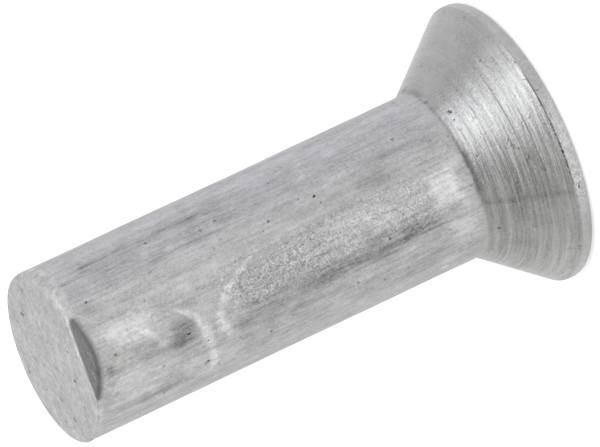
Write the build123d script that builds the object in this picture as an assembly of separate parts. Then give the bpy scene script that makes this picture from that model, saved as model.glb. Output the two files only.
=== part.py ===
from build123d import *
import math
import os

# Countersunk solid rivet, one piece of soft aluminium wire. The head is pressed in a die, its
# cone is then turned, and the tail is sheared off square enough to pass through a hole.
# Frame: origin at the centre of the flat head face, +Z along the shank to the tail, millimetres.

# Driving dimensions of the head
head_diameter = 6.69         # over the rim
head_height = 2.00           # from the head face to where the cone would meet the shank
rim_height = 0.32            # the short straight land between the head face and the cone
face_edge_radius = 0.19      # rounding between the head face and the land
cone_edge_radius = 0.08      # rounding between the land and the cone

# Driving dimensions of the shank
shank_diameter = 4.00
neck_fillet = 0.20           # blend between the cone and the shank
shank_offset = 0.05          # the shank sits this far off the head's centre, towards -X

# Driving dimensions of the sheared tail
length = 11.96               # from the head face to the middle of the tail
shear_tilt = 3.1             # degrees that the sheared face leans from square
shear_low_side = -56.0       # degrees from +X to the side where the sheared face is lowest
nick_side = -100.5           # degrees from +X to the corner that the shear broke off
nick_depth = 0.25            # how far the broken corner reaches in from the shank's wall
nick_drop = 0.20             # how far it reaches down the wall
tail_edge_radius = 0.05      # rounding of the sheared edges

# Values that follow
head_radius = head_diameter / 2
shank_radius = shank_diameter / 2
shank_axis = Vector(-shank_offset, 0, 0)
tail_centre = shank_axis + Vector(0, 0, length)


def direction(degrees):
    """The unit vector across the rivet at this angle from +X."""
    angle = math.radians(degrees)
    return Vector(math.cos(angle), math.sin(angle), 0)


def make_head():
    """The rim and the cone. The cone runs on inside the shank, so that the two cut cleanly."""
    cone_slope = (head_height - rim_height) / (head_radius - shank_radius)
    core_radius = shank_radius / 2
    core_height = head_height + (shank_radius - core_radius) * cone_slope
    outline = Polyline(
        (0, 0),
        (head_radius, 0),
        (head_radius, rim_height),
        (core_radius, core_height),
        (0, core_height),
        close=True,
    )
    section = make_face(outline)
    face_corner = section.vertices().sort_by_distance((head_radius, 0))[0]
    section = fillet(face_corner, face_edge_radius)
    cone_corner = section.vertices().sort_by_distance((head_radius, rim_height))[0]
    section = fillet(cone_corner, cone_edge_radius)
    return revolve(Plane.XZ * section, Axis.Z)


def make_blank():
    """The head with a shank that is longer than it needs to be, blended at the neck."""
    spare = shank_diameter
    bar_height = length + spare - rim_height
    bar = Pos(shank_axis.X, shank_axis.Y, rim_height) * Cylinder(
        shank_radius, bar_height, align=(Align.CENTER, Align.CENTER, Align.MIN)
    )
    blank = make_head() + bar
    neck_point = shank_axis + Vector(shank_radius, 0, head_height)
    rings = blank.edges().filter_by(lambda edge: edge.is_closed)
    neck_edge = rings.sort_by_distance(neck_point)[0]
    return fillet(neck_edge, neck_fillet)


def shear_tail(blank):
    """Cut the shank to length with a leaning plane, and break one corner off."""
    low_side = direction(shear_low_side)
    lean = math.tan(math.radians(shear_tilt))
    shear_normal = low_side * lean + Vector(0, 0, 1)
    cut = split(blank, bisect_by=Plane(tail_centre, z_dir=shear_normal), keep=Keep.BOTTOM)

    outward = direction(nick_side)
    chord_point = tail_centre + outward * (shank_radius - nick_depth)
    chord_drop = outward.dot(low_side) * (shank_radius - nick_depth) * lean
    chord_point = chord_point - Vector(0, 0, chord_drop)
    nick_normal = outward * nick_drop + Vector(0, 0, nick_depth)
    return split(cut, bisect_by=Plane(chord_point, z_dir=nick_normal), keep=Keep.BOTTOM)


def make_rivet():
    """The finished rivet, with the sheared edges just rounded."""
    body = shear_tail(make_blank())
    sheared_face = body.faces().sort_by_distance(tail_centre)[0]
    return fillet(sheared_face.edges(), tail_edge_radius)


os.makedirs("parts", exist_ok=True)
export_step(make_rivet(), "parts/rivet.step")
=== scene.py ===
import math

import bpy
import numpy as np
from mathutils import Matrix, Vector


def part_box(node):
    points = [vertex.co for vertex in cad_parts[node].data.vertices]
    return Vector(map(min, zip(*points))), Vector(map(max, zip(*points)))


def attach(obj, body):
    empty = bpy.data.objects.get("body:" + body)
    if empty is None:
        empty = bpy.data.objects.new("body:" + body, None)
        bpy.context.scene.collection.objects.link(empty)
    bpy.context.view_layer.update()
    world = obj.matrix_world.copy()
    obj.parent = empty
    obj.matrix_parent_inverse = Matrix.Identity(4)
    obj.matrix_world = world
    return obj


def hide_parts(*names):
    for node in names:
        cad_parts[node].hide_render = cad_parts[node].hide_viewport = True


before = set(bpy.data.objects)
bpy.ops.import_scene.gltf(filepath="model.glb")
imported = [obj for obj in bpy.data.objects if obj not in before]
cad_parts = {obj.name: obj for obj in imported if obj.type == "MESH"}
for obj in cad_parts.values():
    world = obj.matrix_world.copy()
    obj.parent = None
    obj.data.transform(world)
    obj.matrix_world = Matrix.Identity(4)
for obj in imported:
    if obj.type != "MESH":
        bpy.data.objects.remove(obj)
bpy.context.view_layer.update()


# ---- The rivet ----------------------------------------------------------------------------------
# One piece of soft aluminium wire. Its end is pressed in a die into a flat countersunk head, the
# cone is skimmed on a lathe, and the tail is sheared off, which leaves it leaning a little, with
# one corner broken away. Sizes are in millimetres, and angles round it run from the -Y side to +X.

MM = 0.001
lowest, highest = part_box("rivet")
head_radius = highest.x / MM
rim_height = 0.32
head_height = 2.00
face_edge_radius = 0.19
cone_edge_radius = 0.08
shank_radius = 2.00
shank_offset = -0.05
neck_fillet = 0.20
cone_angle = math.atan2(head_radius - shank_radius, head_height - rim_height)

shear_lean = math.tan(math.radians(3.1))
shear_low_side = math.radians(-56.0)
tail_height = highest.z / MM - shank_radius * shear_lean
nick_side = math.radians(-100.5)
nick_depth = 0.25
nick_slope = 0.20 / nick_depth
tail_edge_radius = 0.05
roll_over_radius = 0.26
roll_over_side = 58.0
roll_over_spread = 58.0

steps_round = 368
around = np.linspace(0, 2 * math.pi, steps_round, endpoint=False) - math.pi
degrees_round = np.degrees(around)


def line(start, end, count):
    """Evenly spaced stations from start up to, but not including, end, as (radius, height)."""
    share = np.linspace(0, 1, count, endpoint=False)[:, None]
    return np.array(start) * (1 - share) + np.array(end) * share


def arc(centre, radius, start, end, count):
    """Stations along an arc of the section. Angles are in radians from straight outwards."""
    angle = np.linspace(start, end, count, endpoint=False)[:, None]
    return np.array(centre) + radius * np.hstack([np.cos(angle), np.sin(angle)])


def hump(value, centre, half_width):
    """1 at the centre, falling smoothly to 0 at half_width either side."""
    return np.clip(1 - ((value - centre) / half_width) ** 2, 0, 1) ** 2


def ramp(value, low, high):
    """0 below low, 1 above high, and a smooth step between."""
    share = np.clip((value - low) / (high - low), 0, 1)
    return share * share * (3 - 2 * share)


def hills(seed, across, along, cells_across, cells_along):
    """Smooth random hills and hollows, from -1 to 1, over shares across and along of 0 to 1.
    Across closes up on itself, so that there is no seam round the rivet."""
    heights = np.random.default_rng(seed).uniform(-1, 1, (cells_along + 2, cells_across))
    x, y = across * cells_across, along * cells_along
    column, row = np.floor(x).astype(int), np.floor(y).astype(int)
    x, y = ramp(x - column, 0, 1), ramp(y - row, 0, 1)
    left, right = column % cells_across, (column + 1) % cells_across
    below = heights[row, left] * (1 - x) + heights[row, right] * x
    above = heights[row + 1, left] * (1 - x) + heights[row + 1, right] * x
    return below * (1 - y) + above * y


def wall_section():
    """The half section of head and shank, from the edge of the head face up to the tail."""
    cone_tangent = cone_edge_radius * math.tan(cone_angle / 2)
    neck_tangent = neck_fillet * math.tan(cone_angle / 2)
    down_cone = np.array([math.sin(cone_angle), -math.cos(cone_angle)])
    cone_foot = np.array([head_radius, rim_height]) - down_cone * cone_tangent
    cone_top = np.array([shank_radius, head_height]) + down_cone * neck_tangent
    neck_height = head_height + neck_tangent
    parts = {
        "face_edge": arc((head_radius - face_edge_radius, face_edge_radius), face_edge_radius,
                         -math.pi / 2, 0, 9),
        "rim": line((head_radius, face_edge_radius), (head_radius, rim_height - cone_tangent), 4),
        "cone_edge": arc((head_radius - cone_edge_radius, rim_height - cone_tangent),
                         cone_edge_radius, 0, cone_angle, 5),
        "cone": line(cone_foot, cone_top, 108),
        "neck": arc((shank_radius + neck_fillet, neck_height), neck_fillet,
                    math.pi + cone_angle, math.pi, 9),
        "shank": line((shank_radius, neck_height), (shank_radius, tail_height), 74),
    }
    return np.vstack(list(parts.values())), neck_height


def tail_top(x, y):
    """The height of the sheared face over a place on it, with the broken corner cut away."""
    across = x - shank_offset
    toward_low = across * math.cos(shear_low_side) + y * math.sin(shear_low_side)
    sheared = tail_height - shear_lean * toward_low
    outward = across * math.cos(nick_side) + y * math.sin(nick_side)
    chord = shank_radius - nick_depth
    past_chord = outward - chord
    nick = sheared - np.maximum(past_chord, 0) * nick_slope
    burr = 0.03 * np.exp(-((past_chord + 0.04) / 0.03) ** 2)
    along_chord = y * math.cos(nick_side) - across * math.sin(nick_side)
    uneven = 0.75 + 0.25 * np.sin(along_chord * 11) * np.sin(along_chord * 4.3)
    return nick + burr * uneven * ramp(along_chord, -0.3, 0.1) * (1 - ramp(along_chord, 0.9, 1.25))


def build_rivet():
    """The whole skin as rings of points, closed by a fan at the middle of each end."""
    section, neck_height = wall_section()
    face = line((0, 0), (head_radius - face_edge_radius, 0), 13)[1:]
    wall = np.vstack([face, section])
    radius = np.repeat(wall[:, :1], steps_round, axis=1)
    height = np.repeat(wall[:, 1:], steps_round, axis=1)

    # The shank stretches or shrinks to meet the leaning tail, less the rounding of its edge.
    roll_over = hump((degrees_round - roll_over_side + 180) % 360 - 180, 0, roll_over_spread)
    edge_radius = tail_edge_radius + (roll_over_radius - tail_edge_radius) * roll_over
    edge_x = shank_offset + shank_radius * np.sin(around)
    edge_y = -shank_radius * np.cos(around)
    edge_height = tail_top(edge_x, edge_y) - edge_radius
    on_shank = np.clip((height - neck_height) / (tail_height - neck_height), 0, None)
    height = height + on_shank * (edge_height - tail_height)

    # The edge turns over into the sheared face, and the face closes towards its middle.
    turns = np.linspace(0, math.pi / 2, 7, endpoint=False)[:, None]
    edge_ring = shank_radius - edge_radius * (1 - np.cos(turns))
    edge_sink = edge_radius * (1 - np.sin(turns))
    shares = np.concatenate([np.linspace(0, 0.24, 26, endpoint=False), np.linspace(0.24, 1, 15)[:-1]])
    face_ring = (shank_radius - edge_radius) * (1 - shares[:, None])
    tail_ring = np.vstack([edge_ring, face_ring])
    tail_sink = np.vstack([edge_sink, np.zeros_like(face_ring)])
    tail_x = shank_offset + tail_ring * np.sin(around)
    tail_y = -tail_ring * np.cos(around)
    tail_z = tail_top(tail_x, tail_y) - tail_sink

    lean_in = shank_offset * ramp(height, head_height - 0.12, neck_height + 0.05)
    x = np.vstack([lean_in + radius * np.sin(around), tail_x])
    y = np.vstack([-radius * np.cos(around), tail_y])
    z = np.vstack([height, tail_z])
    return np.stack([x, y, z], axis=-1), len(face), len(wall), len(turns)


points, face_rings, wall_rings, edge_rings = build_rivet()


def outward_normals(grid):
    """The unit normal at each point of a closed set of rings."""
    along = np.gradient(grid, axis=0)
    across = np.roll(grid, -1, axis=1) - np.roll(grid, 1, axis=1)
    normal = np.cross(across, along)
    return normal / np.maximum(np.linalg.norm(normal, axis=-1, keepdims=True), 1e-9)


def lathe_rings(height):
    """The cuts of the lathe tool round the cone: uneven, one about every 0.13 mm of height."""
    seeds = np.random.default_rng(7)
    cuts = np.zeros_like(height)
    for pitch, depth in ((0.29, 0.5), (0.13, 1.0), (0.071, 0.6)):
        knots = np.arange(0, head_height + 2 * pitch, pitch / 2)
        values = seeds.uniform(-1, 1, len(knots))
        cuts += depth * np.interp(height, knots, values)
    return cuts


def relief(grid):
    """How far each point stands proud of the plain shape, in millimetres."""
    x, y, z = grid[..., 0], grid[..., 1], grid[..., 2]
    share_round = np.broadcast_to(np.linspace(0, 1, steps_round, endpoint=False), x.shape)
    share_up = np.clip(z / tail_height, 0, 1)
    degrees = np.broadcast_to(degrees_round, x.shape)
    on_wall = (np.arange(len(grid)) < wall_rings)[:, None]
    on_cone = ramp(z, 0.36, 0.46) * (1 - ramp(z, 1.78, 1.95)) * on_wall
    on_shank = ramp(z, 2.15, 2.6) * on_wall

    cut_depth = 0.6 + 0.4 * hills(3, share_round, share_up, 9, 12)
    cuts = 0.0035 * lathe_rings(z + 0.004 * hills(4, share_round, share_up, 20, 3)) * cut_depth
    wander = 0.006 * hills(5, share_round, share_up, 9, 6) + 0.003 * hills(6, share_round, share_up, 31, 22)
    draw = 0.0016 * hills(8, share_round, share_up, 150, 7)
    return on_cone * cuts + on_shank * (wander - 0.006 + draw)


points = points + outward_normals(points) * relief(points)[..., None]
points[..., :2] = np.clip(points[..., :2], -head_radius, head_radius)
points[..., 2] = np.clip(points[..., 2], 0, highest.z / MM)


def skin_mesh(name, grid):
    """A closed mesh of the rings, with a flat map of it for finishes: the wall as a rectangle,
    and above it the head face and the tail as discs."""
    rings, count = grid.shape[:2]
    middles = np.array([[0, 0, 0], [shank_offset, 0, tail_top(shank_offset, 0.0)]])
    corners = np.vstack([grid.reshape(-1, 3), middles]) * MM
    ring, column = np.arange(rings - 1)[:, None], np.arange(count)[None, :]
    below, following = ring * count, (column + 1) % count
    quads = np.stack([below + column, below + following, below + count + following,
                      below + count + column], axis=-1)
    last = (rings - 1) * count
    head_fan = np.stack([0 * column + len(corners) - 2, following, column], axis=-1)
    tail_fan = np.stack([0 * column + len(corners) - 1, last + column, last + following], axis=-1)
    faces = quads.reshape(-1, 4).tolist() + head_fan[0].tolist() + tail_fan[0].tolist()
    mesh = bpy.data.meshes.new(name)
    mesh.from_pydata(corners.tolist(), [], faces)
    mesh.polygons.foreach_set("use_smooth", [True] * len(faces))

    wall_map_height, disc_map_radius, disc_map_height = 0.62, 0.17, 0.81
    head_middle, tail_middle = 0.25, 0.75
    wall_end = wall_rings + edge_rings
    ring_radius = np.hypot(grid[..., 0], grid[..., 1]).mean(axis=1)
    travelled = np.concatenate([[0], np.linalg.norm(np.diff(grid[:, 0], axis=0), axis=1).cumsum()])
    ring_at, column_at = np.broadcast_arrays(ring[..., None] + np.array([0, 0, 1, 1]),
                                             column[..., None] + np.array([0, 1, 1, 0]))

    def on_disc(middle, radius, column_at, edge_radius):
        turned = 2 * math.pi * column_at / count
        reach = disc_map_radius * radius / edge_radius
        flat_x, flat_y = middle + reach * np.sin(turned), disc_map_height - reach * np.cos(turned)
        return np.stack([flat_x, flat_y], axis=-1).reshape(-1, 2)

    share = (travelled[ring_at] - travelled[face_rings]) / (travelled[wall_end] - travelled[face_rings])
    wall_flat = np.stack([column_at / count, wall_map_height * share], axis=-1)
    wall_flat = wall_flat[face_rings:wall_end].reshape(-1, 2)
    head, tail = slice(0, face_rings), slice(wall_end, None)
    head_flat = on_disc(head_middle, ring_radius[ring_at[head]], column_at[head], ring_radius[face_rings])
    tail_flat = on_disc(tail_middle, ring_radius[ring_at[tail]], column_at[tail], ring_radius[wall_end])
    fan_radius = np.broadcast_to([0, 1, 1], (count, 3))
    head_tip = on_disc(head_middle, fan_radius * ring_radius[0], column[0][:, None] + np.array([0, 1, 0]),
                       ring_radius[face_rings])
    tail_tip = on_disc(tail_middle, fan_radius * ring_radius[-1], column[0][:, None] + np.array([0, 0, 1]),
                       ring_radius[wall_end])
    flat_map = mesh.uv_layers.new(name="OFBake")
    flat_places = np.vstack([head_flat, wall_flat, tail_flat, head_tip, tail_tip])
    flat_map.data.foreach_set("uv", flat_places.ravel())
    mesh.update()
    return mesh


def region_masks(grid):
    """For each point, how far it belongs to the cone, shank, rim, tail and broken corner."""
    x, y, z = grid[..., 0], grid[..., 1], grid[..., 2]
    on_wall = (np.arange(len(grid)) < wall_rings)[:, None] * np.ones_like(z)
    across = x - shank_offset
    outward = across * math.cos(nick_side) + y * math.sin(nick_side)
    past_chord = outward - (shank_radius - nick_depth)
    return {
        "on_cone": ramp(z, 0.33, 0.36) * (1 - ramp(z, 1.9, 1.98)) * on_wall,
        "on_shank": ramp(z, 1.95, 2.1) * on_wall,
        "on_rim": (1 - ramp(z, 0.33, 0.36)) * ramp(z, 0.0, 0.03),
        "on_tail": 1 - on_wall,
        "in_nick": ramp(past_chord, -0.01, 0.03) * (1 - on_wall),
    }


masks = region_masks(points)
rivet = bpy.data.objects.new("solid_rivet", skin_mesh("solid_rivet", points))
for mask_name, mask in masks.items():
    layer = rivet.data.attributes.new(mask_name, "FLOAT", "POINT")
    ends = [0.0, 1.0 if mask_name == "on_tail" else 0.0]
    layer.data.foreach_set("value", np.concatenate([mask.ravel(), ends]))
bpy.context.scene.collection.objects.link(rivet)
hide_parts("rivet")
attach(rivet, "root")


# ---- Bare aluminium -----------------------------------------------------------------------------
# Soft aluminium, drawn through a die and tumbled, never polished or coated, so it has gone dull.

class Value:
    """A socket of a node tree. Sums on it add Math nodes, and node() adds any other node."""

    tree = None

    def __init__(self, socket):
        self.socket = socket

    @classmethod
    def node(cls, kind, settings=None, inputs=None, output=0):
        """Add a node: its settings first, then what its sockets hold or are linked to."""
        added = cls.tree.nodes.new(kind)
        for name, setting in (settings or {}).items():
            setattr(added, name, setting)
        for name, given in (inputs or {}).items():
            if isinstance(given, Value):
                cls.tree.links.new(given.socket, added.inputs[name])
            else:
                added.inputs[name].default_value = given
        return cls(added.outputs[output] if added.outputs else None)

    def math(self, operation, first, second):
        return self.node("ShaderNodeMath", {"operation": operation}, {0: first, 1: second})

    def __add__(self, other):
        return self.math("ADD", self, other)

    def __radd__(self, other):
        return self.math("ADD", other, self)

    def __sub__(self, other):
        return self.math("SUBTRACT", self, other)

    def __rsub__(self, other):
        return self.math("SUBTRACT", other, self)

    def __mul__(self, other):
        return self.math("MULTIPLY", self, other)

    def __rmul__(self, other):
        return self.math("MULTIPLY", other, self)


def smooth_between(value, low, high):
    """0 where value is under low, 1 where it is over high, with a soft step between."""
    return Value.node("ShaderNodeMapRange", {"interpolation_type": "SMOOTHSTEP"},
                      {"Value": value, "From Min": low, "From Max": high})


def noise(vector, scale, detail=2.0, roughness=0.5):
    """Soft random cloud from -1 to 1, with cells 1 / scale across."""
    texture = Value.node("ShaderNodeTexNoise", {"noise_dimensions": "3D"},
                         {"Vector": vector, "Scale": scale, "Detail": detail, "Roughness": roughness})
    return texture * 4 - 2


def stretched(vector, across, along):
    """The same place with its sizes multiplied: a small along draws the cloud out into lines."""
    return Value.node("ShaderNodeVectorMath", {"operation": "MULTIPLY"},
                      {0: vector, 1: (across, across, along)})


def attribute(name):
    """What the mesh says about each point, such as whether it is on the cone."""
    return Value.node("ShaderNodeAttribute", {"attribute_name": name}, output="Fac")


def blend(factor, first, second):
    """One colour passing into another."""
    return Value.node("ShaderNodeMix", {"data_type": "RGBA"}, {0: factor, 6: first, 7: second}, output=2)


metal = bpy.data.materials.new("bare_aluminium")
metal.use_nodes = True
metal.node_tree.nodes.clear()
Value.tree = metal.node_tree

place_m = Value.node("ShaderNodeTexCoord", output="Object")
place = Value.node("ShaderNodeVectorMath", {"operation": "MULTIPLY"}, {0: place_m, 1: (1000, 1000, 1000)})
x = Value.node("ShaderNodeSeparateXYZ", inputs={0: place}, output="X")
y = Value.node("ShaderNodeSeparateXYZ", inputs={0: place}, output="Y")
height = Value.node("ShaderNodeSeparateXYZ", inputs={0: place}, output="Z")
turn = x.math("ARCTAN2", x - shank_offset, 0 - y)
skin = Value.node("ShaderNodeCombineXYZ", inputs={0: turn * shank_radius, 1: height, 2: 0.0})
ragged = Value.node("ShaderNodeTexNoise", {"noise_dimensions": "3D"},
                    {"Vector": place, "Scale": 7.0, "Detail": 3.0}, output="Color")
ragged = Value.node("ShaderNodeVectorMath", {"operation": "SUBTRACT"}, {0: ragged, 1: (0.5, 0.5, 0.5)})

on_cone, on_shank, on_tail = attribute("on_cone"), attribute("on_shank"), attribute("on_tail")
on_rim, in_nick = attribute("on_rim"), attribute("in_nick")


cloud = noise(place, 1.3, 4.0, 0.6)
grain = noise(place, 9.0, 4.0, 0.75)
speck = noise(place, 22.0, 3.0, 0.7)
draw_lines = noise(stretched(place, 12.0, 0.7), 1.0, 4.0, 0.75)
long_lines = noise(stretched(place, 4.0, 0.16), 1.0, 3.0, 0.6)
streaks = noise(stretched(place, 8.0, 1.2), 1.0, 5.0, 0.7)
mottle = noise(stretched(place, 2.8, 1.5), 1.0, 5.0, 0.75)
fray = 0.55 * streaks + 0.25 * grain


def frayed(amount):
    """The skin map pushed about a little, so that what is drawn on it has ragged edges."""
    push = Value.node("ShaderNodeVectorMath", {"operation": "SCALE"}, {0: ragged, "Scale": amount})
    return Value.node("ShaderNodeVectorMath", {"operation": "ADD"}, {0: skin, 1: push})


def part_of(vector, axis):
    return Value.node("ShaderNodeSeparateXYZ", inputs={0: vector}, output=axis)


def magnitude(value):
    return value.math("ABSOLUTE", value, 0.0)


def spots(places, fray, softness=0.6):
    """Round marks on the wall: each has degrees round, height, width across and strength."""
    where = frayed(fray)
    marks = 0.0
    for degrees, mark_height, width, strength in places:
        centre = (math.radians(degrees) * shank_radius, mark_height, 0)
        distance = Value.node("ShaderNodeVectorMath", {"operation": "DISTANCE"},
                              {0: where, 1: centre}, output="Value")
        marks = marks + smooth_between(distance, width / 2, width / 2 * (1 - softness)) * strength
    return marks


def patches(places):
    """Long patches up the wall with ragged, streaky edges: degrees round, half width in degrees,
    lowest, highest, how far the ends fade, and strength."""
    marks = 0.0
    across, up = part_of(skin, "X"), part_of(skin, "Y")
    for degrees, half_width, low, high, fade, strength in places:
        half = math.radians(half_width) * shank_radius
        offset = magnitude(across - math.radians(degrees) * shank_radius)
        body = smooth_between(offset, half * 1.5, half * 0.2)
        body = body * smooth_between(up, low - fade, low + fade)
        body = body * smooth_between(up, high + fade, high - fade)
        marks = marks + body * smooth_between(body + fray, 0.3, 1.0) * strength
    return marks


def trail(middle, half_width, first, last):
    """A scrape along a curve: middle works out its height from the place round the wall."""
    where = frayed(0.12)
    across, up = part_of(where, "X"), part_of(where, "Y")
    offset = magnitude(up - middle(across))
    ends = smooth_between(across, first, first + 0.3) * smooth_between(across, last, last - 0.3)
    return smooth_between(offset, half_width, half_width * 0.2) * ends


# Lines that its making left on the cone and the tail, and hairline scratches all over.
rings = noise(stretched(place, 0.22, 10.0), 1.0, 4.0, 0.7)
broken_rings = noise(stretched(place, 1.4, 22.0), 1.0, 2.0, 0.6)
shear_lines = noise(Value.node("ShaderNodeVectorMath", {"operation": "MULTIPLY"},
                               {0: place, 1: (1.3, 16.0, 1.0)}), 1.0, 4.0, 0.75)
hairs = smooth_between(magnitude(noise(place, 1.7, 2.0, 0.4)), 0.05, 0.0)
hairs = hairs * smooth_between(noise(place, 2.3, 1.0), 0.1, 0.7)
nicks = smooth_between(magnitude(noise(stretched(place, 3.4, 1.5), 1.0, 3.0, 0.5)), 0.07, 0.0)
nicks = nicks * smooth_between(noise(place, 3.1, 1.0), 0.2, 0.8)

# Scattered small pits, a few in every square millimetre.
pit_cells = Value.node("ShaderNodeTexVoronoi", {"voronoi_dimensions": "3D"},
                       {"Vector": place, "Scale": 2.6}, output="Distance")
pit_luck = Value.node("ShaderNodeTexVoronoi", {"voronoi_dimensions": "3D"},
                      {"Vector": place, "Scale": 2.6}, output="Color")
pit_luck = part_of(pit_luck, "X")
scatter = smooth_between(pit_cells + 0.07 * grain, 0.13, 0.03) * smooth_between(pit_luck, 0.55, 0.75)

# Marks that this rivet carries. The back has its own, of the same kinds.
pits = spots([
    (23, 5.5, 0.10, 1.3), (26, 5.87, 0.06, 1.0), (21, 6.72, 0.10, 0.8), (45, 9.35, 0.07, 0.9),
    (23, 11.26, 0.08, 1.2), (-33, 9.07, 0.07, 1.2), (-23, 9.45, 0.07, 1.1), (-49, 9.15, 0.09, 1.0),
    (-57, 8.88, 0.07, 1.0), (-49, 7.55, 0.08, 1.0), (-60, 10.28, 0.08, 1.0), (-1, 6.05, 0.06, 1.0),
    (47, 6.2, 0.08, 0.5), (-15, 11.2, 0.08, 0.9), (-23, 4.35, 0.07, 0.8), (-5, 6.65, 0.07, 0.7),
    (-43, 5.3, 0.06, 0.8), (17, 5.45, 0.06, 0.7), (16, 6.95, 0.06, 0.7), (20, 8.1, 0.06, 0.8),
    (33, 1.80, 0.10, 0.9), (27, 1.84, 0.06, 0.7), (-48, 1.78, 0.09, 0.7), (85, 1.97, 0.20, 0.5),
    (-9, 0.93, 0.06, 0.7), (-27, 0.22, 0.08, 1.1), (-12, 0.33, 0.07, 0.9), (52, 2.0, 0.14, 0.5),
], 0.12)
copper = spots([
    (1, 1.17, 0.07, 0.9), (-1, 1.14, 0.07, 1.0), (-3, 1.11, 0.06, 0.9), (-50, 9.22, 0.10, 0.8),
    (-44, 6.95, 0.12, 0.4),
], 0.10)
dark_ends = spots([
    (-2, 1.10, 0.05, 1.0), (-4, 1.06, 0.06, 1.0), (2, 1.15, 0.04, 0.7),
], 0.06)
olive = spots([
    (44, 3.62, 0.13, 1.0), (-16, 11.2, 0.12, 0.6), (-23, 10.15, 0.14, 0.4),
], 0.14)
smears = patches([
    (50, 5, 7.0, 11.4, 0.9, 0.35), (49, 1.5, 7.6, 11.2, 0.9, 0.5), (46, 1.2, 6.4, 8.6, 0.8, 0.5),
    (57, 3, 6.6, 9.6, 0.9, 0.4), (29, 3, 7.5, 10.5, 0.9, 0.35), (28, 3, 2.6, 4.4, 0.5, 0.4),
    (39, 17, 2.2, 11.8, 0.4, 0.22), (-26, 10, 3.4, 8.6, 0.5, 0.5), (-30, 12, 5.0, 8.5, 0.6, 0.4),
    (-29, 7, 2.8, 6.4, 0.6, 0.5), (-24, 7, 2.5, 4.2, 0.35, 0.6), (-19, 12, 9.15, 9.9, 0.22, 0.9),
    (-24, 10, 9.3, 10.9, 0.4, 0.6), (-23, 6, 11.3, 11.55, 0.1, 0.9), (20, 8, 11.0, 11.6, 0.3, 0.45),
    (47, 4, 10.7, 11.1, 0.2, 0.4), (14, 9, 3.4, 6.6, 0.6, 0.20), (16, 8, 3.6, 4.6, 0.3, 0.25),
    (-57, 5, 9.6, 11.2, 0.5, 0.6), (-45, 12, 5.8, 8.6, 0.6, 0.35), (-50, 13, 2.8, 5.6, 0.8, 0.35),
    (120, 14, 4.0, 9.5, 1.0, 0.5), (-140, 12, 3.0, 8.0, 1.0, 0.7), (165, 6, 6.0, 11.0, 1.0, 0.6),
    (-100, 7, 5.0, 9.0, 1.0, 0.5),
])
# Pale scuffs up the wall. The two lowest, just over the neck, are partly a painted highlight where the shank
# swells into the head.
scuffs_and_neck_highlight = patches([
    (-8, 16, 2.35, 3.1, 0.2, 1.9), (-12, 32, 2.1, 2.6, 0.25, 0.8), (-7, 15, 3.0, 6.0, 1.0, 0.8),
    (-3, 12, 9.9, 11.4, 0.5, 1.4), (-38, 16, 10.0, 11.6, 0.5, 0.6), (-70, 3, 2.95, 3.15, 0.06, 1.4),
    (-38, 9, 2.2, 2.9, 0.25, 0.8), (48, 4, 4.4, 4.8, 0.15, 0.5), (8, 9, 7.9, 9.6, 0.6, 0.5),
    (33, 4, 8.85, 9.1, 0.12, 0.8), (62, 8, 2.2, 11.8, 0.5, 0.3), (150, 14, 2.3, 5.0, 0.8, 0.9),
    (-110, 12, 5.0, 9.0, 0.8, 0.6), (-160, 9, 9.0, 11.0, 0.7, 0.9),
])
scrapes = trail(lambda across: 9.0 + 0.7 * (1.05 + 0.53 * across).math("POWER", 1.05 + 0.53 * across, 5.0),
                0.16, -2.1, 0.0)
scrapes = scrapes + trail(lambda across: 8.66 - 1.15 * ((across + 0.85) * (across + 0.85)), 0.19, -1.35, 0.35)
scrapes = scrapes + 0.6 * trail(lambda across: 10.05 + 0.9 * ((across + 0.95) * (across + 0.95)), 0.14,
                                -1.0, 0.0)
scrapes = scrapes * smooth_between(fray, -0.9, 0.3) * (1 + 0.4 * grain)
granular = smooth_between(speck + 0.5 * grain + 0.3 * streaks, -0.7, 0.7) - 0.5
granular = granular * (0.35 + 0.65 * smooth_between(mottle, -0.5, 0.5))
frosted = patches([
    (-9, 22, 2.6, 8.8, 0.9, 1.0), (170, 20, 3.0, 10.0, 1.0, 0.8), (-125, 12, 3.0, 7.0, 0.8, 0.7),
])
worn = patches([
    (-35, 42, 2.2, 11.8, 0.4, 1.0), (160, 60, 2.2, 11.8, 0.4, 0.8),
])
seam = smooth_between(magnitude(turn + math.radians(28.5) + 0.012 * grain), 0.05, 0.0)
seam = seam * smooth_between(fray, -0.7, 0.5)
# Painted shade in the corner where the cone meets the shank.
neck_painted_shade = smooth_between(magnitude(height - 1.99 + 0.03 * grain), 0.10, 0.01)
neck_shade_spread = smooth_between(magnitude(turn - 0.45), 1.1, 0.7) * smooth_between(mottle, -0.5, 0.3)
neck_shade_heart = smooth_between(magnitude(turn + 0.12), 0.55, 0.2)
neck_painted_shade = neck_painted_shade * (0.5 * neck_shade_spread + 0.6 * neck_shade_heart)
step_line = smooth_between(magnitude(height - 0.335 + 0.005 * grain), 0.022, 0.006)
step_line = step_line * smooth_between(magnitude(turn + 0.03), 0.5, 0.3) * smooth_between(fray, -0.5, 0.2)
# Painted light along the edge of the head face, lifting the contact shade from the floor there.
face_edge_painted_light = smooth_between(height, 0.15, 0.03) * on_rim
side = turn.math("SINE", turn, 0.0)
cone_side = smooth_between(side, 0.5, 0.8)

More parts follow.
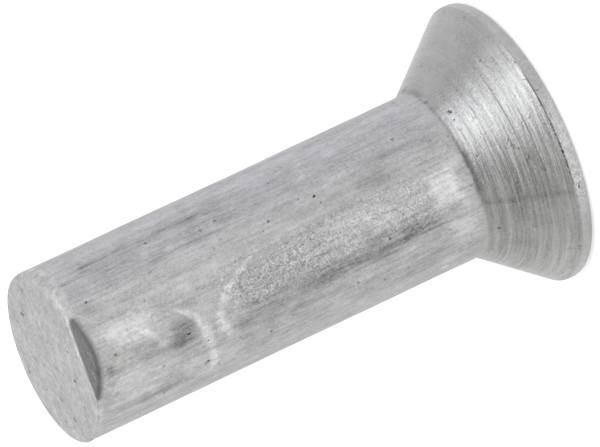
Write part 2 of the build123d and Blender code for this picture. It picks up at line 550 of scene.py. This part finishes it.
# Pits in the sheared face: across, away from the low side, width and strength.
tail_pits = 0.0
face_place = Value.node("ShaderNodeCombineXYZ", inputs={0: x, 1: y, 2: 0.0})
face_push = Value.node("ShaderNodeVectorMath", {"operation": "SCALE"}, {0: ragged, "Scale": 0.16})
on_face = Value.node("ShaderNodeVectorMath", {"operation": "ADD"}, {0: face_place, 1: face_push})
for across, away, width, strength in (
        (-1.47, 0.22, 0.20, 0.9), (-0.97, 0.50, 0.14, 0.9), (0.07, 1.00, 0.17, 1.0),
        (0.13, 0.80, 0.10, 0.6), (1.10, 0.63, 0.20, 1.0), (-0.71, -0.80, 0.16, 1.0),
        (-0.66, -1.02, 0.13, 0.8), (-1.35, -0.70, 0.13, 0.8), (0.05, 0.35, 0.10, 0.6),
        (-1.43, 0.82, 0.10, 0.6), (0.30, -0.15, 0.09, 0.7), (-0.65, 1.15, 0.10, 0.6),
        (1.12, -0.68, 0.09, 0.7), (0.37, -1.60, 0.10, 0.7), (0.67, -0.05, 0.07, 0.7),
        (1.57, 0.00, 0.14, 0.6), (-0.13, 1.20, 0.12, 0.5), (-0.10, 1.70, 0.12, 0.5),
        (-0.33, -0.10, 0.10, 0.5), (1.00, 1.10, 0.12, 0.5)):
    distance = Value.node("ShaderNodeVectorMath", {"operation": "DISTANCE"},
                          {0: on_face, 1: (across, away, 0)}, output="Value")
    tail_pits = tail_pits + smooth_between(distance, width / 2, width / 5) * strength
tail_pits = tail_pits * on_tail
pits = pits * (1 - on_tail)

tone = 0.5 + 0.06 * cloud + 0.10 * speck + 0.10 * hairs - 0.14 * nicks
tone = tone + on_shank * (0.12 * draw_lines + 0.04 * long_lines + 0.10 * grain + 0.08 * mottle)
tone = tone + on_shank * worn * (0.08 * mottle + 0.09 * streaks)
tone = tone + on_shank * (0.34 * granular * frosted + 0.17 * scuffs_and_neck_highlight + 0.24 * scrapes)
tone = tone - on_shank * 0.26 * smears * (0.8 + 0.5 * grain + 0.4 * streaks)
ring_contrast = on_cone * (1 - 0.75 * cone_side)
tone = tone + ring_contrast * (0.17 * rings + 0.09 * broken_rings + 0.04 * grain) - 0.07 * on_cone
tone = tone - 0.14 * on_cone * seam - 0.06 * on_cone * smooth_between(magnitude(turn + 0.30), 0.3, 0.1)
# Painted light: the cone paler towards +X, and low down towards -X. The rim is paler away from the front.
painted_light_by_side = smooth_between(turn, 0.6, 1.1) + smooth_between(turn, -0.7, -1.2) * smooth_between(height, 1.7, 0.5)
tone = tone + 0.09 * on_cone * painted_light_by_side + 0.10 * on_rim * smooth_between(magnitude(turn), 0.9, 1.3)
# A painted highlight on the rim land, just to the -X side of the front, with granular rubbing on it.
rim_highlight_and_rub = smooth_between(magnitude(turn + 0.22), 0.5, 0.2)
tone = tone + on_rim * (0.10 * grain + rim_highlight_and_rub * (0.14 + 0.40 * granular)) + 0.2 * face_edge_painted_light
tone = tone + on_tail * (0.14 * shear_lines + 0.18 * grain + 0.12 * mottle + 0.13)
tone = tone - 0.40 * pits - 0.40 * tail_pits - 0.25 * scatter - 0.28 * neck_painted_shade - 0.5 * step_line
# The broken corner is darkened: partly the dull grey of torn metal, partly painted shade standing for the
# dark reflection of its steep face.
tone = tone * (1 - 0.9 * in_nick) + in_nick * (0.10 + 0.05 * shear_lines + 0.03 * speck) - 0.3 * dark_ends
tone = Value.node("ShaderNodeClamp", inputs={0: tone})

darkest, palest = (0.06, 0.06, 0.06, 1), (0.72, 0.72, 0.72, 1)
copper_brown, dry_olive = (0.20, 0.11, 0.04, 1), (0.42, 0.38, 0.16, 1)
tinted = blend(tone, darkest, palest)
# A cool cast on the +X side of the shank: partly the drawn metal's own tint, partly a painted cool reflection
# of the light on that side.
shank_tint_and_cool_light = on_shank * smooth_between(side + 0.1 * cloud, 0.1, 0.8) * (1 - on_tail)
tinted = Value.node("ShaderNodeMix", {"data_type": "RGBA", "blend_type": "MULTIPLY"},
                    {0: shank_tint_and_cool_light, 6: tinted, 7: (0.985, 0.98, 1.03, 1)}, output=2)
tinted = blend(copper * 0.8, tinted, copper_brown)
tinted = blend(olive * 0.6, tinted, dry_olive)

bump_height = 0.0020 * grain + 0.0008 * speck
bump_height = bump_height + on_shank * (0.0028 * draw_lines + frosted * (0.005 * grain + 0.002 * speck))
bump_height = bump_height + ring_contrast * (0.0055 * rings + 0.0028 * broken_rings)
bump_height = bump_height + on_tail * (0.0030 * shear_lines + 0.003 * grain)
bump_height = bump_height - 0.015 * (pits + tail_pits) - 0.008 * scatter - 0.003 * nicks
bump = Value.node("ShaderNodeBump", inputs={"Strength": 1.0, "Distance": 0.001, "Height": bump_height})

roughness = 0.40 + 0.04 * grain + 0.03 * cloud + 0.06 * on_tail - 0.12 * on_cone
shader = Value.node("ShaderNodeBsdfPrincipled", inputs={
    "Base Color": tinted, "Metallic": 1.0, "Specular Tint": (0.8, 0.8, 0.8, 1),
    "Roughness": roughness, "Normal": bump})
Value.node("ShaderNodeOutputMaterial", inputs={"Surface": shader})
rivet.data.materials.append(metal)


# ---- The studio ---------------------------------------------------------------------------------
# A white table inside a light tent, a little brighter towards +Y, cooler on the +X side and warmer
# on the other. A window to the front right and a panel overhead add to it. The camera is far off
# with a long lens, and turned on its side.

def make_floor():
    mesh = bpy.data.meshes.new("table")
    half = 2.0
    mesh.from_pydata([(-half, -half, 0), (half, -half, 0), (half, half, 0), (-half, half, 0)], [],
                     [(0, 1, 2, 3)])
    table = bpy.data.objects.new("table", mesh)
    bpy.context.scene.collection.objects.link(table)
    white = bpy.data.materials.new("table_white")
    white.use_nodes = True
    board = white.node_tree.nodes["Principled BSDF"]
    board.inputs["Base Color"].default_value = (0.62, 0.62, 0.62, 1)
    board.inputs["Roughness"].default_value = 0.9
    board.inputs["Emission Color"].default_value = (1, 1, 1, 1)
    board.inputs["Emission Strength"].default_value = 0.5
    mesh.materials.append(white)


make_floor()

world = bpy.data.worlds.new("light_tent")
world.use_nodes = True
bpy.context.scene.world = world
Value.tree = world.node_tree
toward = Value.node("ShaderNodeTexCoord", output="Generated")
toward_x = Value.node("ShaderNodeSeparateXYZ", inputs={0: toward}, output="X")
toward_y = Value.node("ShaderNodeSeparateXYZ", inputs={0: toward}, output="Y")
glow = 0.88 + 0.01 * toward_x + 0.22 * toward_y
warm_to_cool = blend(smooth_between(toward_x, -0.7, 0.7), (1.0, 0.995, 0.965, 1), (0.995, 0.995, 1.015, 1))
tent = world.node_tree.nodes["Background"]
world.node_tree.links.new(warm_to_cool.socket, tent.inputs["Color"])
world.node_tree.links.new(glow.socket, tent.inputs["Strength"])


def soft_light(name, degrees, elevation, distance, size, power, colour):
    """A square diffuser, aimed at the middle of the rivet from this direction."""
    lamp = bpy.data.lights.new(name, "AREA")
    lamp.energy = power
    lamp.size = size
    lamp.color = colour
    turn, rise = math.radians(degrees), math.radians(elevation)
    toward = Vector((math.sin(turn) * math.cos(rise), -math.cos(turn) * math.cos(rise), math.sin(rise)))
    holder = bpy.data.objects.new(name, lamp)
    holder.location = toward * distance + Vector((0, 0, tail_height * MM / 2))
    holder.rotation_euler = toward.to_track_quat("Z", "Y").to_euler()
    bpy.context.scene.collection.objects.link(holder)


soft_light("window", 50, 52, 0.4, 0.30, 0.50, (0.98, 0.99, 1.0))
soft_light("overhead", 180, 88, 0.5, 0.4, 0.6, (1.0, 1.0, 1.0))

camera_rise = math.radians(18.55)
camera_roll = math.radians(-115.2)
camera_distance = 0.1768
aim_right, aim_up = 0.0015, 0.0030
aim_height = 5.94 * MM
back = Vector((0, -math.cos(camera_rise), math.sin(camera_rise)))
level = Vector((1, 0, 0))
up = back.cross(level)
sideways = math.cos(camera_roll) * level + math.sin(camera_roll) * up
upright = -math.sin(camera_roll) * level + math.cos(camera_roll) * up
ahead = (-back * math.cos(aim_right) * math.cos(aim_up) + sideways * math.sin(aim_right) * math.cos(aim_up)
         + upright * math.sin(aim_up)).normalized()
sideways = ahead.cross(upright).normalized()
upright = sideways.cross(ahead)

lens = bpy.data.cameras.new("camera")
lens.lens = 480
lens.sensor_width = 36
camera = bpy.data.objects.new("camera", lens)
turned = Matrix((sideways, upright, -ahead)).transposed()
aim = Vector((shank_offset * MM, 0, aim_height))
camera.matrix_world = Matrix.Translation(back * camera_distance + aim) @ turned.to_4x4()
bpy.context.scene.collection.objects.link(camera)
bpy.context.scene.camera = camera
bpy.context.scene.view_settings.view_transform = "Standard"
